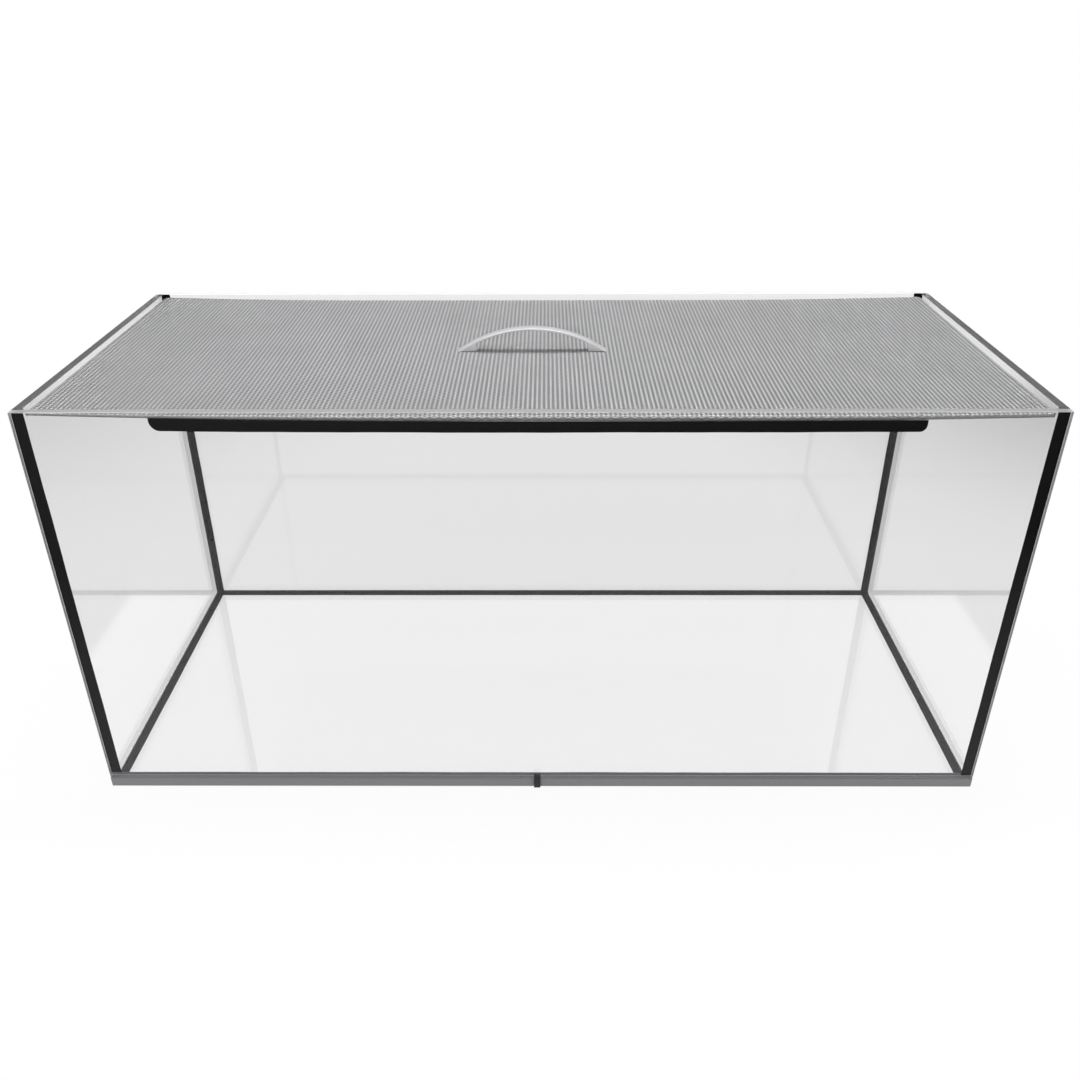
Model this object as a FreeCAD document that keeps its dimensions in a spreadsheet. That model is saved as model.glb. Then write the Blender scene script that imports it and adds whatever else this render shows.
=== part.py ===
import FreeCAD, Part
import math
import os
import sys

import Sketcher
from FreeCAD import Placement, Rotation, Vector

# Glass small-animal tank with a lift-off lid of expanded metal.
# Millimetres. X runs left to right, Y from front to back, Z up. The origin is on the table,
# under the middle of the glass tank.

# Driving dimensions: name, value, what it is.
SIZES = [
    ("tank_length", 900.0, "outside, left to right"),
    ("tank_depth", 400.0, "outside, front to back"),
    ("tank_height", 410.0, "table to rim"),
    ("wall_glass", 8.0, "thickness of the four walls"),
    ("base_glass", 10.0, "thickness of the base pane"),
    ("arris", 0.5, "ground edge of each pane, braces included"),
    ("bond_gap", 1.0, "silicone between two panes"),
    ("corner_leg", 3.0, "reach of the inside bead in an upright corner"),
    ("floor_leg", 4.0, "reach of the inside bead around the floor"),
    ("bead_hollow", 1.15, "radius of a bead's hollow face, as a share of its chord"),
    ("brace_length", 660.0, "glass brace, left to right"),
    ("brace_width", 40.0, "glass brace, front to back"),
    ("brace_glass", 8.0, "thickness of a brace"),
    ("brace_drop", 10.5, "rim to the top of a brace"),
    ("brace_bond_over", 2.5, "how far a brace's bond runs past each end"),
    ("brace_bond_under", 1.2, "bead below a brace"),
    ("brace_bond_round", 7.0, "rounded lower corners of a brace's bond"),
    ("strip_thickness", 0.8, "grey edge strip on the base's front edge"),
    ("joint_offset", -3.4, "where the two edge strips meet, from the middle"),
    ("cap_width", 6.8, "cap over the joint of the edge strips"),
    ("cap_lap", 5.0, "how far the cap laps up onto the front pane"),
    ("cap_thickness", 2.5, "front to back"),
    ("cap_round", 1.0, "rounded front edges of the cap"),
    ("lid_gap", 2.0, "lid's edge to the glass, all round"),
    ("lid_drop", 6.0, "rim to the top of the lid"),
    ("lid_seat_gap", 0.3, "air between the lid's fold and a brace"),
    ("lid_sheet", 1.0, "thickness of the expanded sheet"),
    ("lid_border", 12.0, "closed edge around the cells"),
    ("cell_length", 57.0, "cell, long way, left to right"),
    ("cell_width", 35.6, "cell, short way, front to back"),
    ("cell_strand", 5.0, "width of the metal between two cells"),
    ("handle_length", 148.0, "tip to tip"),
    ("handle_centres", 128.0, "screw to screw"),
    ("handle_rise", 23.0, "lid to the top of the bow"),
    ("handle_strap", 2.0, "thickness at the top of the bow"),
    ("handle_width", 12.0, "front to back"),
    ("handle_foot", 18.0, "length of a foot on the lid"),
    ("handle_foot_wall", 8.0, "height of a foot's inner face"),
    ("handle_bevel", 0.6, "bevelled edges of the bow"),
    ("handle_offset_across", -8.0, "middle of the handle, left of the middle of the lid"),
    ("handle_offset_deep", -6.0, "middle of the handle, in front of the middle of the lid"),
    ("screw_radius", 1.9, "shank of a handle screw"),
    ("screw_clearance", 0.3, "around a shank, in the sheet and the washer"),
    ("screw_grip", 4.0, "thread inside a foot"),
    ("screw_slack", 0.1, "around the thread inside a foot"),
    ("screw_head_radius", 3.8, "pan head"),
    ("screw_head_height", 2.2, "pan head"),
    ("screw_slot_width", 1.2, "slot in the head"),
    ("screw_slot_depth", 0.9, "slot in the head"),
    ("washer_radius", 10.0, "washer under the sheet"),
    ("washer_thickness", 1.0, "washer under the sheet"),
    ("patch_radius", 11.5, "sheet left whole around each screw"),
]

doc = FreeCAD.newDocument("GlassTank")
sheet = doc.addObject("Spreadsheet::Sheet", "Sizes")
for line, (alias, size, note) in enumerate(SIZES, start=1):
    sheet.set("A%d" % line, alias)
    sheet.set("B%d" % line, "%g" % size)
    sheet.setAlias("B%d" % line, alias)
    sheet.set("C%d" % line, note)
doc.recompute()

# Levels and faces that several pieces share, as expressions on the sheet.
HALF_LENGTH = "Sizes.tank_length / 2"
HALF_DEPTH = "Sizes.tank_depth / 2"
SIDE_FACE = "(Sizes.tank_length / 2 - Sizes.wall_glass)"
LONG_FACE = "(Sizes.tank_depth / 2 - Sizes.wall_glass)"
SIDE_END = "(Sizes.tank_depth / 2 - Sizes.wall_glass - Sizes.bond_gap)"
WALL_FOOT = "(Sizes.base_glass + Sizes.bond_gap)"
RIM = "Sizes.tank_height"
BRACE_TOP = "(Sizes.tank_height - Sizes.brace_drop)"
BRACE_UNDERSIDE = "(Sizes.tank_height - Sizes.brace_drop - Sizes.brace_glass)"
LID_TOP = "(Sizes.tank_height - Sizes.lid_drop)"
LID_UNDERSIDE = "(Sizes.tank_height - Sizes.lid_drop - Sizes.lid_sheet)"
LID_SEAT = "(Sizes.tank_height - Sizes.brace_drop + Sizes.lid_seat_gap)"
WASHER_UNDERSIDE = "(%s - Sizes.washer_thickness)" % LID_UNDERSIDE

parts = []


def value(expression):
    """What an expression on the sheet comes to."""
    return float(sheet.evalExpression(expression))


def keep(piece, label):
    """Names a finished piece after its file."""
    piece.Label = label
    parts.append(piece)
    return piece


def plane_of(body, role):
    return [f for f in body.Origin.OriginFeatures if f.Role == role][0]


def sketch_on(body, role, name, level="0"):
    """A sketch on one of the body's own planes, moved along the plane's normal by level."""
    sketch = body.newObject("Sketcher::SketchObject", name)
    sketch.AttachmentSupport = [(plane_of(body, role), "")]
    sketch.MapMode = "FlatFace"
    sketch.setExpression(".AttachmentOffset.Base.z", level)
    return sketch


def bulge_point(start, end, radius, left):
    """The middle of a minor arc from start to end, to the left or right of the way between."""
    chord = end - start
    half = chord.Length / 2
    sagitta = radius - math.sqrt(max(radius ** 2 - half ** 2, 0.0))
    normal = Vector(-chord.y, chord.x, 0).normalize()
    return (start + end) * 0.5 + normal * (sagitta if left else -sagitta)


def draw(sketch, corners, arcs=None):
    """Draws a closed outline through corners, given as pairs of expressions.

    Each corner is tied to the sketch's origin by its two expressions. arcs gives, for the
    side that leaves a corner, its radius and whether it bulges to the left of its run.
    """
    arcs = arcs or {}
    places = [Vector(value(across), value(up), 0) for across, up in corners]
    sides = []
    for index, start in enumerate(places):
        end = places[(index + 1) % len(places)]
        if index in arcs:
            radius, left = arcs[index]
            middle = bulge_point(start, end, value(radius), left)
            sides.append(sketch.addGeometry(Part.Arc(start, middle, end), False))
        else:
            sides.append(sketch.addGeometry(Part.LineSegment(start, end), False))

    def end_at(side, place):
        near = sketch.getPoint(side, 1).distanceToPoint(place)
        far = sketch.getPoint(side, 2).distanceToPoint(place)
        return 1 if near < far else 2

    for index, place in enumerate(places):
        side, before = sides[index], sides[index - 1]
        joint = (before, end_at(before, place), side, end_at(side, place))
        sketch.addConstraint(Sketcher.Constraint("Coincident", *joint))
        for kind, expression, size in (
            ("DistanceX", corners[index][0], place.x),
            ("DistanceY", corners[index][1], place.y),
        ):
            tie = Sketcher.Constraint(kind, -1, 1, side, joint[3], size)
            number = sketch.addConstraint(tie)
            sketch.renameConstraint(number, "%s%d" % (kind, index))
            sketch.setExpression("Constraints.%s%d" % (kind, index), expression)
    for index, (radius, left) in arcs.items():
        number = sketch.addConstraint(Sketcher.Constraint("Radius", sides[index], value(radius)))
        sketch.renameConstraint(number, "Radius%d" % index)
        sketch.setExpression("Constraints.Radius%d" % index, radius)


def rectangle(sketch, left, right, low, high):
    draw(sketch, [(left, low), (right, low), (right, high), (left, high)])


def circle(sketch, across, up, radius):
    """A circle tied to the sketch's origin."""
    place = Vector(value(across), value(up), 0)
    ring = sketch.addGeometry(Part.Circle(place, Vector(0, 0, 1), value(radius)), False)
    for kind, expression, size in (("DistanceX", across, place.x), ("DistanceY", up, place.y)):
        number = sketch.addConstraint(Sketcher.Constraint(kind, -1, 1, ring, 3, size))
        sketch.renameConstraint(number, "%s_%d" % (kind, ring))
        sketch.setExpression("Constraints.%s_%d" % (kind, ring), expression)
    number = sketch.addConstraint(Sketcher.Constraint("Radius", ring, value(radius)))
    sketch.renameConstraint(number, "Radius_%d" % ring)
    sketch.setExpression("Constraints.Radius_%d" % ring, radius)


def pad(body, sketch, length, name):
    feature = body.newObject("PartDesign::Pad", name)
    feature.Profile = sketch
    feature.setExpression("Length", length)
    return feature


def pocket(body, sketch, length, name, reversed_way=False):
    """Cuts the sketch out of the body, and stops if nothing was cut away."""
    doc.recompute()
    before = body.Shape.Volume
    feature = body.newObject("PartDesign::Pocket", name)
    feature.Profile = sketch
    feature.Reversed = reversed_way
    feature.setExpression("Length", length)
    doc.recompute()
    if not body.Shape.Volume < before:
        sys.exit("%s cuts nothing" % name)
    return feature


def edge_names(shape, wanted):
    """The names of the edges of a shape for which wanted(edge) is true."""
    return ["Edge%d" % n for n, edge in enumerate(shape.Edges, start=1) if wanted(edge)]


def new_body(name):
    return doc.addObject("PartDesign::Body", name)


# Panes

def glass_pane(label, left, right, front, back, foot, height):
    """A sheet of float glass, cut square, with every edge ground to a small arris."""
    body = new_body(label)
    outline = sketch_on(body, "XY_Plane", label + "_outline", foot)
    rectangle(outline, left, right, front, back)
    block = pad(body, outline, height, label + "_block")
    doc.recompute()
    ground = body.newObject("PartDesign::Chamfer", label + "_arris")
    ground.Base = (block, edge_names(block.Shape, lambda edge: True))
    ground.setExpression("Size", "Sizes.arris")
    return keep(body, label)


def panes():
    """The base, and four walls that stand on it: the long walls lap the ends of the short."""
    wall_height = "%s - %s" % (RIM, WALL_FOOT)
    glass_pane(
        "base_pane", "-" + HALF_LENGTH, HALF_LENGTH,
        "-%s + Sizes.strip_thickness" % HALF_DEPTH, HALF_DEPTH, "0", "Sizes.base_glass",
    )
    glass_pane(
        "front_pane", "-" + HALF_LENGTH, HALF_LENGTH,
        "-" + HALF_DEPTH, "-" + LONG_FACE, WALL_FOOT, wall_height,
    )
    glass_pane(
        "back_pane", "-" + HALF_LENGTH, HALF_LENGTH,
        LONG_FACE, HALF_DEPTH, WALL_FOOT, wall_height,
    )
    glass_pane(
        "left_pane", "-" + HALF_LENGTH, "-" + SIDE_FACE,
        "-" + SIDE_END, SIDE_END, WALL_FOOT, wall_height,
    )
    glass_pane(
        "right_pane", SIDE_FACE, HALF_LENGTH,
        "-" + SIDE_END, SIDE_END, WALL_FOOT, wall_height,
    )


# Silicone

def bead_radius(first_leg, second_leg):
    """The radius of a bead's hollow face between the ends of its two legs."""
    return "Sizes.bead_hollow * sqrt((%s) ^ 2 + (%s) ^ 2)" % (first_leg, second_leg)


def upright_seam(label, side, end):
    """The silicone in an upright corner: the bond at the short wall's end and an inside bead.

    side is -1 for the left wall and 1 for the right, end is -1 for the front and 1 for the
    back. It stands on the base pane and reaches the rim.
    """
    body = new_body(label)
    section = sketch_on(body, "XY_Plane", label + "_section", "Sizes.base_glass")

    def corner(across, deep):
        return ("%d * (%s)" % (side, across), "%d * (%s)" % (end, deep))

    draw(
        section,
        [
            corner(HALF_LENGTH, LONG_FACE),
            corner(SIDE_FACE + " - Sizes.corner_leg", LONG_FACE),
            corner(SIDE_FACE, SIDE_END + " - Sizes.corner_leg"),
            corner(SIDE_FACE, SIDE_END),
            corner(HALF_LENGTH, SIDE_END),
        ],
        {1: (bead_radius("Sizes.corner_leg", "Sizes.corner_leg + Sizes.bond_gap"), side * end > 0)},
    )
    pad(body, section, RIM + " - Sizes.base_glass", label + "_run")
    return keep(body, label)


def floor_run(name, role, side, reach, face, length, inner_length):
    """One side of the floor's silicone, before its ends are fitted to its neighbours.

    role is the plane that the run is square to. reach is how far out the wall stands, face is
    its inner face, and the bead is as long as the room inside.
    """
    body = new_body(name)
    top = "(%s + Sizes.floor_leg)" % WALL_FOOT
    half = "-(%s) / 2"
    bond = sketch_on(body, role, name + "_bond", half % length)
    out, face_at = "%d * (%s)" % (side, reach), "%d * (%s)" % (side, face)
    draw(bond, [(out, "Sizes.base_glass"), (face_at, "Sizes.base_glass"),
                (face_at, WALL_FOOT), (out, WALL_FOOT)])
    pad(body, bond, length, name + "_bond_run")
    bead = sketch_on(body, role, name + "_bead", half % inner_length)
    draw(
        bead,
        [
            (face_at, "Sizes.base_glass"),
            ("%d * (%s - Sizes.floor_leg)" % (side, face), "Sizes.base_glass"),
            (face_at, top),
        ],
        {1: (bead_radius("Sizes.floor_leg", "Sizes.floor_leg + Sizes.bond_gap"), side < 0)},
    )
    pad(body, bead, inner_length, name + "_bead_run")
    return body


def fitted(label, run, neighbours):
    """A run of silicone with its neighbours' room cut out of it."""
    room = doc.addObject("Part::MultiFuse", label + "_room")
    room.Shapes = neighbours
    piece = doc.addObject("Part::Cut", label + "_fitted")
    piece.Base = run
    piece.Tool = room
    return keep(piece, label)


def silicone():
    """Four upright seams, and four floor seams that meet them and each other."""
    uprights = [
        upright_seam("seam_front_left", -1, -1),
        upright_seam("seam_front_right", 1, -1),
        upright_seam("seam_back_left", -1, 1),
        upright_seam("seam_back_right", 1, 1),
    ]
    inner_length = "2 * " + SIDE_FACE
    inner_depth = "2 * " + LONG_FACE
    long_walls = []
    for label, side in (("seam_base_front", -1), ("seam_base_back", 1)):
        run = floor_run(
            label + "_whole", "YZ_Plane", side, HALF_DEPTH, LONG_FACE,
            "Sizes.tank_length", inner_length,
        )
        long_walls.append(fitted(label, run, uprights))
    for label, side in (("seam_base_left", -1), ("seam_base_right", 1)):
        run = floor_run(
            label + "_whole", "XZ_Plane", side, HALF_LENGTH, SIDE_FACE, inner_depth, inner_depth,
        )
        fitted(label, run, uprights + long_walls)


# Braces

def braces():
    """A glass brace along each long wall, which carries the lid, and its black bond."""
    half_brace = "Sizes.brace_length / 2"
    half_bond = "(Sizes.brace_length / 2 + Sizes.brace_bond_over)"
    low = "(%s - Sizes.brace_bond_under)" % BRACE_UNDERSIDE
    for name, side in (("front", -1), ("back", 1)):
        inner = "%d * (%s - Sizes.bond_gap)" % (side, LONG_FACE)
        edge = "%d * (%s - Sizes.bond_gap - Sizes.brace_width)" % (side, LONG_FACE)
        glass_pane(
            name + "_brace", "-" + half_brace, half_brace,
            *sorted((inner, edge), key=value), BRACE_UNDERSIDE, "Sizes.brace_glass",
        )
        label = name + "_brace_bond"
        body = new_body(label)
        # The sketch plane's normal points to the front, so a level there is minus Y.
        level = LONG_FACE if side < 0 else "-(%s - Sizes.bond_gap)" % LONG_FACE
        outline = sketch_on(body, "XZ_Plane", label + "_outline", level + " - Sizes.bond_gap")
        left, right = "-" + half_bond, half_bond
        draw(
            outline,
            [
                (left + " + Sizes.brace_bond_round", low),
                (right + " - Sizes.brace_bond_round", low),
                (right, low + " + Sizes.brace_bond_round"),
                (right, BRACE_TOP),
                (left, BRACE_TOP),
                (left, low + " + Sizes.brace_bond_round"),
            ],
            {1: ("Sizes.brace_bond_round", False), 5: ("Sizes.brace_bond_round", False)},
        )
        pad(body, outline, "Sizes.bond_gap", label + "_sheet")
        # The bead below the brace, along its straight part.
        run = "(Sizes.brace_length - 2 * Sizes.brace_bond_round)"
        bead = sketch_on(body, "YZ_Plane", label + "_bead", "-%s / 2" % run)
        draw(
            bead,
            [
                (inner, low),
                ("%d * (%s - Sizes.bond_gap - Sizes.brace_bond_under)" % (side, LONG_FACE),
                 BRACE_UNDERSIDE),
                (inner, BRACE_UNDERSIDE),
            ],
        )
        pad(body, bead, run, label + "_bead_run")
        keep(body, label)


# Edge strips

def edge_strips():
    """Grey strip in two lengths on the base's front edge, and the black cap on their joint."""
    for label, left, right in (
        ("edge_strip_left", "-" + HALF_LENGTH, "Sizes.joint_offset"),
        ("edge_strip_right", "Sizes.joint_offset", HALF_LENGTH),
    ):
        body = new_body(label)
        outline = sketch_on(body, "XY_Plane", label + "_outline")
        rectangle(outline, left, right,
                  "-" + HALF_DEPTH, "-%s + Sizes.strip_thickness" % HALF_DEPTH)
        pad(body, outline, "Sizes.base_glass", label + "_run")
        keep(body, label)
    label = "edge_strip_cap"
    body = new_body(label)
    outline = sketch_on(body, "XY_Plane", label + "_outline")
    rectangle(
        outline,
        "Sizes.joint_offset - Sizes.cap_width / 2", "Sizes.joint_offset + Sizes.cap_width / 2",
        "-%s - Sizes.cap_thickness" % HALF_DEPTH, "-" + HALF_DEPTH,
    )
    block = pad(body, outline, WALL_FOOT + " + Sizes.cap_lap", label + "_block")
    doc.recompute()
    front = -value(HALF_DEPTH) - value("Sizes.cap_thickness")
    foot = block.Shape.BoundBox.ZMin

    def shows(edge):
        box = edge.BoundBox
        return abs(box.YMax - front) < 1e-6 and box.ZMax > foot + 1e-6

    rounding = body.newObject("PartDesign::Fillet", label + "_rounding")
    rounding.Base = (block, edge_names(block.Shape, shows))
    rounding.setExpression("Radius", "Sizes.cap_round")
    keep(body, label)


# Lid

def screw_places():
    """The axes of the two handle screws, left and right, as expressions."""
    deep = "Sizes.handle_offset_deep"
    across = "Sizes.handle_offset_across %s Sizes.handle_centres / 2"
    return [(across % "-", deep), (across % "+", deep)]


def cell_centres(half_across, half_deep):
    """The middles of the cells, in staggered rows that are centred on the lid."""
    long_way, short_way = value("Sizes.cell_length"), value("Sizes.cell_width")
    rows = int((2 * half_deep - short_way) / (short_way / 2) + 1e-6) + 1
    centres = []
    for row in range(rows):
        deep = (row - (rows - 1) / 2) * short_way / 2
        shift = 0.5 if row % 2 else 0.0
        reach = int(half_across // long_way) + 1
        for step in range(-reach, reach + 1):
            across = (step + shift) * long_way
            if abs(across) + long_way / 2 <= half_across:
                centres.append(Vector(across, deep, 0))
    return centres


def holed_face(outlines):
    """A flat face inside the first outline, with the others as holes."""
    return Part.makeFace(outlines, "Part::FaceMakerBullseye")


def lid_mesh():
    """The lid: one expanded sheet with its four edges folded down.

    The cells are drawn larger than the real ones, with the same staggered diamond layout.
    The sheet is whole around each handle screw, where the real strands are clamped.
    """
    top, underside, seat = value(LID_TOP), value(LID_UNDERSIDE), value(LID_SEAT)
    thick, gap = value("Sizes.lid_sheet"), value("Sizes.lid_gap")
    across, deep = value(SIDE_FACE) - gap, value(LONG_FACE) - gap
    border = value("Sizes.lid_border")

    def frame(half_across, half_deep, level):
        turns = [(-1, -1), (1, -1), (1, 1), (-1, 1)]
        ring = [Vector(x * half_across, y * half_deep, level) for x, y in turns]
        return Part.makePolygon(ring + ring[:1])

    # Each hole is its cell's rhombus, drawn in by half a strand.
    half_long, half_short = value("Sizes.cell_length / 2"), value("Sizes.cell_width / 2")
    to_side = half_long * half_short / math.hypot(half_long, half_short)
    share = (to_side - value("Sizes.cell_strand") / 2) / to_side
    holes = []
    for centre in cell_centres(across - border, deep - border):
        tips = [
            Vector(centre.x - half_long * share, centre.y, underside),
            Vector(centre.x, centre.y - half_short * share, underside),
            Vector(centre.x + half_long * share, centre.y, underside),
            Vector(centre.x, centre.y + half_short * share, underside),
        ]
        holes.append(Part.makePolygon(tips + tips[:1]))
    face = holed_face([frame(across, deep, underside)] + holes)
    solid = face.extrude(Vector(0, 0, thick))
    fold = holed_face([frame(across, deep, seat), frame(across - thick, deep - thick, seat)])
    solid = solid.fuse(fold.extrude(Vector(0, 0, top - seat)))
    shank = value("Sizes.screw_radius + Sizes.screw_clearance")
    for place in screw_places():
        foot = Vector(value(place[0]), value(place[1]), underside)
        solid = solid.fuse(Part.makeCylinder(value("Sizes.patch_radius"), thick, foot))
        solid = solid.cut(Part.makeCylinder(shank, thick, foot))
    piece = doc.addObject("Part::Feature", "lid_mesh")
    piece.Shape = solid.removeSplitter()
    piece.Placement = Placement(Vector(0, 0, 0), Rotation())
    return keep(piece, "lid_mesh")


def lid_handle():
    """A bow handle: a thin arch that rises from two wedge feet, tapped from below."""
    label = "lid_handle"
    body = new_body(label)
    middle = "Sizes.handle_offset_across"
    half = "Sizes.handle_length / 2"
    inner = "(Sizes.handle_length / 2 - Sizes.handle_foot)"
    inner_rise = "(Sizes.handle_rise - Sizes.handle_strap - Sizes.handle_foot_wall)"
    front = "-Sizes.handle_offset_deep - Sizes.handle_width / 2"
    profile = sketch_on(body, "XZ_Plane", label + "_profile", front)
    wall_top = LID_TOP + " + Sizes.handle_foot_wall"
    draw(
        profile,
        [
            (middle + " - " + half, LID_TOP),
            (middle + " - " + inner, LID_TOP),
            (middle + " - " + inner, wall_top),
            (middle + " + " + inner, wall_top),
            (middle + " + " + inner, LID_TOP),
            (middle + " + " + half, LID_TOP),
        ],
        {
            2: ("((%s) ^ 2 + (%s) ^ 2) / (2 * (%s))" % (inner, inner_rise, inner_rise), True),
            5: ("((%s) ^ 2 + Sizes.handle_rise ^ 2) / (2 * Sizes.handle_rise)" % half, False),
        },
    )
    bow = pad(body, profile, "Sizes.handle_width", label + "_bow")
    doc.recompute()

    def arched(edge):
        return edge.Curve.TypeId == "Part::GeomCircle"

    bevel = body.newObject("PartDesign::Chamfer", label + "_bevel")
    bevel.Base = (bow, edge_names(bow.Shape, arched))
    bevel.setExpression("Size", "Sizes.handle_bevel")
    holes = sketch_on(body, "XY_Plane", label + "_holes", LID_TOP)
    for across, deep in screw_places():
        circle(holes, across, deep, "Sizes.screw_radius + Sizes.screw_slack")
    pocket(body, holes, "Sizes.screw_grip + Sizes.screw_slack", label + "_tapped", True)
    return keep(body, label)


def handle_screws():
    """Two slotted pan-head screws, up through washer and sheet into the handle's feet."""
    label = "handle_screws"
    screws = []
    for name, (across, deep) in zip(("left", "right"), screw_places()):
        body = new_body("%s_%s" % (label, name))
        shank = sketch_on(body, "XY_Plane", body.Name + "_shank", WASHER_UNDERSIDE)
        circle(shank, across, deep, "Sizes.screw_radius")
        grip = "%s - %s + Sizes.screw_grip" % (LID_TOP, WASHER_UNDERSIDE)
        pad(body, shank, grip, body.Name + "_shank_run")
        underside = "(%s - Sizes.screw_head_height)" % WASHER_UNDERSIDE
        head = sketch_on(body, "XY_Plane", body.Name + "_head", underside)
        circle(head, across, deep, "Sizes.screw_head_radius")
        pad(body, head, "Sizes.screw_head_height", body.Name + "_head_run")
        slot = sketch_on(body, "XY_Plane", body.Name + "_slot", underside)
        rectangle(
            slot,
            across + " - Sizes.screw_head_radius", across + " + Sizes.screw_head_radius",
            deep + " - Sizes.screw_slot_width / 2", deep + " + Sizes.screw_slot_width / 2",
        )
        pocket(body, slot, "Sizes.screw_slot_depth", body.Name + "_slot_cut", True)
        screws.append(body)
    pair = doc.addObject("Part::Compound", label)
    pair.Links = screws
    return keep(pair, label)


def handle_washers():
    """Two wide washers that spread each screw's pull over the strands."""
    label = "handle_washers"
    rings = []
    for name, (across, deep) in zip(("left", "right"), screw_places()):
        body = new_body("%s_%s" % (label, name))
        ring = sketch_on(body, "XY_Plane", body.Name + "_ring", WASHER_UNDERSIDE)
        circle(ring, across, deep, "Sizes.washer_radius")
        circle(ring, across, deep, "Sizes.screw_radius + Sizes.screw_clearance")
        pad(body, ring, "Sizes.washer_thickness", body.Name + "_run")
        rings.append(body)
    pair = doc.addObject("Part::Compound", label)
    pair.Links = rings
    return keep(pair, label)


panes()
silicone()
braces()
edge_strips()
lid_mesh()
lid_handle()
handle_screws()
handle_washers()
doc.recompute()

# Nothing is written until every object and every piece is sound.
for thing in doc.Objects:
    if "Invalid" in thing.State or "Error" in thing.State:
        sys.exit("%s failed: %s" % (thing.Label, thing.State))
for piece in parts:
    if piece.Shape.isNull() or not piece.Shape.isValid():
        sys.exit("%s has no valid shape" % piece.Label)

os.makedirs("parts", exist_ok=True)
for piece in parts:
    piece.Shape.exportStep(os.path.join("parts", piece.Label + ".step"))
    print("%-18s %2d solid(s) %12.1f mm3" % (
        piece.Label, len(piece.Shape.Solids), piece.Shape.Volume))
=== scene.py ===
"""Glass small-animal tank with a loose lid of expanded aluminium and a bow handle.

Every length in a class is in millimetres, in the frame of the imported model: X left to right,
Y from the front to the back, Z up from the floor. Meshes are written in metres.
"""

import logging
import math
from dataclasses import dataclass, field
from enum import Enum

import bpy
import numpy as np
from mathutils import Matrix, Vector

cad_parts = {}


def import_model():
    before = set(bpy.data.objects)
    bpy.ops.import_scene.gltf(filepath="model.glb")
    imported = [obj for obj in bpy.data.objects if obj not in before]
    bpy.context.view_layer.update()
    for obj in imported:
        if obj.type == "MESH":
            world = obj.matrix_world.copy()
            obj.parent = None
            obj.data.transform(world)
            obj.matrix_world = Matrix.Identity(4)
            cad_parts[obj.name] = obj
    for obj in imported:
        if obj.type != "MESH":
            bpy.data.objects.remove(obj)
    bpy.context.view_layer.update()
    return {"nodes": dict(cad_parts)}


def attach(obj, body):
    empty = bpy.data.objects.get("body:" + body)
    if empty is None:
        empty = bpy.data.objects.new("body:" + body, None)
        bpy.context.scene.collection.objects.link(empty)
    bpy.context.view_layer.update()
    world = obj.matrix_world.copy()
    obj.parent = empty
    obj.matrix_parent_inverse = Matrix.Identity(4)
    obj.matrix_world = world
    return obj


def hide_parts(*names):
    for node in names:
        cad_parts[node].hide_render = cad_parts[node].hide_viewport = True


LOG = logging.getLogger("tank")
MM = 0.001

Node = bpy.types.ShaderNode
Socket = bpy.types.NodeSocket


class Rides(Enum):
    """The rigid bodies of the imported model."""

    TANK = "tank"
    LID = "lid"


class Side(Enum):
    """Which long or short wall a piece belongs to, as a sign on its axis."""

    LOW = -1
    HIGH = 1


# Materials


def hex_linear(code: str) -> tuple[float, float, float, float]:
    """Turns an sRGB hex colour into linear RGBA.

    Args:
        code: Six hex digits, with or without a leading hash.

    Returns:
        Red, green, blue in linear light, and an alpha of 1.
    """
    digits = code.lstrip("#")
    parts = [int(digits[i : i + 2], 16) / 255 for i in (0, 2, 4)]
    linear = [p / 12.92 if p <= 0.04045 else ((p + 0.055) / 1.055) ** 2.4 for p in parts]
    return (*linear, 1.0)


def add_node(
    tree: bpy.types.NodeTree,
    kind: str,
    settings: dict[str, object] | None = None,
    values: dict[str | int, object] | None = None,
    links: dict[str | int, Socket] | None = None,
) -> Node:
    """Adds a node with its settings, socket values and incoming links.

    Args:
        tree: The node tree to add to.
        kind: The node's type name.
        settings: Properties of the node itself.
        values: Default values by input name or index.
        links: Source sockets by input name or index.

    Returns:
        The new node.
    """
    node = tree.nodes.new(kind)
    for name, setting in (settings or {}).items():
        setattr(node, name, setting)
    for key, value in (values or {}).items():
        node.inputs[key].default_value = value
    for key, source in (links or {}).items():
        tree.links.new(source, node.inputs[key])
    return node


def new_material(name: str) -> tuple[bpy.types.Material, bpy.types.NodeTree, Node]:
    """Makes an empty node material.

    Args:
        name: The material's name.

    Returns:
        The material, its tree and its output node.
    """
    material = bpy.data.materials.new(name)
    material.use_nodes = True
    tree = material.node_tree
    tree.nodes.clear()
    return material, tree, tree.nodes.new("ShaderNodeOutputMaterial")


def object_place(tree: bpy.types.NodeTree, stretch: tuple[float, float, float]) -> Socket:
    """Object coordinates in metres, scaled per axis.

    Args:
        tree: The node tree.
        stretch: Factors on X, Y and Z; a low one draws a pattern out along that axis.

    Returns:
        A vector socket.
    """
    place = add_node(tree, "ShaderNodeTexCoord")
    scaled = add_node(
        tree, "ShaderNodeMapping", values={"Scale": stretch}, links={"Vector": place.outputs["Object"]}
    )
    return scaled.outputs["Vector"]


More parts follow.
